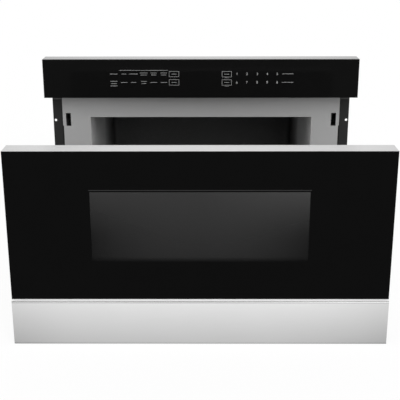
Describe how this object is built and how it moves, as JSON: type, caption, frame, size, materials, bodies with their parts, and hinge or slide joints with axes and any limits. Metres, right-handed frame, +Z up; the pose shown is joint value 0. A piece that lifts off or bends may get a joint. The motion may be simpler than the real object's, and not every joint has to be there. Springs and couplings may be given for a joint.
{
  "type": "microwave drawer",
  "caption": "Built-in microwave oven with a motor-driven drawer that slides out on telescopic slides below a fixed black glass control panel.",
  "frame": {"origin": "middle of the front edge of the cabinet cut-out, on its deck: where the plane of the cabinet face meets the plane the base stands on", "axes": "+X to the right as seen from the front, +Y into the cabinet, +Z up; the front faces -Y"},
  "size_m": [0.606, 1.0106, 0.4025],
  "materials": {
    "galvanised": "satin zinc-coated sheet steel",
    "cavity_enamel": "dark grey painted oven steel",
    "plate_grey": "flat grey paint",
    "flange_black": "dark satin paint",
    "black_glass": "opaque black glass",
    "cap_metal": "fine brushed",
    "stainless": "brushed along its length",
    "black_moulding": "fine matt",
    "grey_moulding": "fine matt",
    "tub_white": "smooth",
    "ceramic": "opaque white glass ceramic",
    "stirrer_sheet": "mill finish",
    "slide_steel": "zinc plated",
    "ball_cage": "zinc plated",
    "gear_plastic": "smooth",
    "circuit_board": "solder mask",
    "core_steel": "varnished",
    "can_aluminium": "drawn",
    "lamp_glass": "socket and bulb",
    "screen_black": "matt"
  },
  "bodies": {
    "chassis": {"back_panel": "galvanised", "base_pan": "galvanised", "blower_housing": "galvanised", "blower_motor": "core_steel", "cavity_shell": "cavity_enamel", "control_board": "circuit_board", "cord_gland": "black_moulding", "display_module": "black_moulding", "drive_motor": "core_steel", "front_plate": "plate_grey", "hv_capacitor": "can_aluminium", "hv_transformer": "core_steel", "left_door_switch": "grey_moulding", "left_mounting_flange": "flange_black", "left_slide_outer": "slide_steel", "magnetron": "can_aluminium", "motor_bracket": "galvanised", "noise_filter": "circuit_board", "outer_case": "galvanised", "oven_lamp": "lamp_glass", "panel_cap": "cap_metal", "panel_glass": "black_glass", "panel_housing": "black_moulding", "right_door_switch": "grey_moulding", "right_mounting_flange": "flange_black", "right_slide_outer": "slide_steel", "stirrer_cover": "grey_moulding", "stirrer_motor": "core_steel", "waveguide": "galvanised"},
    "drawer": {"door_frame": "black_moulding", "door_glass": "black_glass", "door_trim_strip": "stainless", "door_top_cap": "cap_metal", "choke_panel": "plate_grey", "choke_cover": "grey_moulding", "window_screen": "screen_black", "door_stiffener": "galvanised", "left_door_bracket": "galvanised", "right_door_bracket": "galvanised", "left_interlock_hook": "gear_plastic", "right_interlock_hook": "gear_plastic", "rear_crossbar": "galvanised", "drawer_rack": "gear_plastic", "drawer_tub": "tub_white", "ceramic_tray": "ceramic", "tub_glides": "gear_plastic", "left_slide_inner": "slide_steel", "right_slide_inner": "slide_steel"},
    "left_middle_member": {"left_slide_middle": "slide_steel"},
    "right_middle_member": {"right_slide_middle": "slide_steel"},
    "left_outer_balls": {"left_cage_outer": "ball_cage"},
    "right_outer_balls": {"right_cage_outer": "ball_cage"},
    "left_inner_balls": {"left_cage_inner": "ball_cage"},
    "right_inner_balls": {"right_cage_inner": "ball_cage"},
    "pinion": {"drive_pinion": "gear_plastic"},
    "stirrer": {"stirrer_blade": "stirrer_sheet"},
    "blower_rotor": {"blower_wheel": "black_moulding"},
    "left_plunger": {"left_switch_plunger": "gear_plastic"},
    "right_plunger": {"right_switch_plunger": "gear_plastic"}
  },
  "joints": [
    {"name": "drawer_slide", "type": "slide", "parent": "chassis", "child": "drawer", "axis": [0, 1, 0], "range_m": [0, 0.38]},
    {"name": "left_middle_slide", "type": "slide", "parent": "chassis", "child": "left_middle_member", "axis": [0, 1, 0], "range_m": [0, 0.19]},
    {"name": "right_middle_slide", "type": "slide", "parent": "chassis", "child": "right_middle_member", "axis": [0, 1, 0], "range_m": [0, 0.19]},
    {"name": "left_outer_ball_travel", "type": "slide", "parent": "chassis", "child": "left_outer_balls", "axis": [0, 1, 0], "range_m": [0, 0.095]},
    {"name": "right_outer_ball_travel", "type": "slide", "parent": "chassis", "child": "right_outer_balls", "axis": [0, 1, 0], "range_m": [0, 0.095]},
    {"name": "left_inner_ball_travel", "type": "slide", "parent": "chassis", "child": "left_inner_balls", "axis": [0, 1, 0], "range_m": [0, 0.285]},
    {"name": "right_inner_ball_travel", "type": "slide", "parent": "chassis", "child": "right_inner_balls", "axis": [0, 1, 0], "range_m": [0, 0.285]},
    {"name": "pinion_spin", "type": "hinge", "parent": "chassis", "child": "pinion", "pos_m": [0, 0.03, 0.024], "axis": [1, 0, 0], "range_deg": [-1400, 0]},
    {"name": "stirrer_spin", "type": "hinge", "parent": "chassis", "child": "stirrer", "pos_m": [0, 0.184, 0.27], "axis": [0, 0, 1], "continuous": true},
    {"name": "blower_spin", "type": "hinge", "parent": "chassis", "child": "blower_rotor", "pos_m": [0.135, 0.51, 0.066], "axis": [0, 1, 0], "continuous": true},
    {"name": "left_plunger_press", "type": "slide", "parent": "chassis", "child": "left_plunger", "axis": [0, 1, 0], "range_m": [0, 0.003], "stiffness_N_per_m": 150, "springref_m": -0.002},
    {"name": "right_plunger_press", "type": "slide", "parent": "chassis", "child": "right_plunger", "axis": [0, 1, 0], "range_m": [0, 0.003], "stiffness_N_per_m": 150, "springref_m": -0.002}
  ],
  "couplings": [
    {"joint": "left_middle_slide", "follows": "drawer_slide", "ratio": 0.5},
    {"joint": "right_middle_slide", "follows": "drawer_slide", "ratio": 0.5},
    {"joint": "left_outer_ball_travel", "follows": "drawer_slide", "ratio": 0.25},
    {"joint": "right_outer_ball_travel", "follows": "drawer_slide", "ratio": 0.25},
    {"joint": "left_inner_ball_travel", "follows": "drawer_slide", "ratio": 0.75},
    {"joint": "right_inner_ball_travel", "follows": "drawer_slide", "ratio": 0.75},
    {"joint": "pinion_spin", "follows": "drawer_slide", "rad_per_m": -62.5}
  ]
}
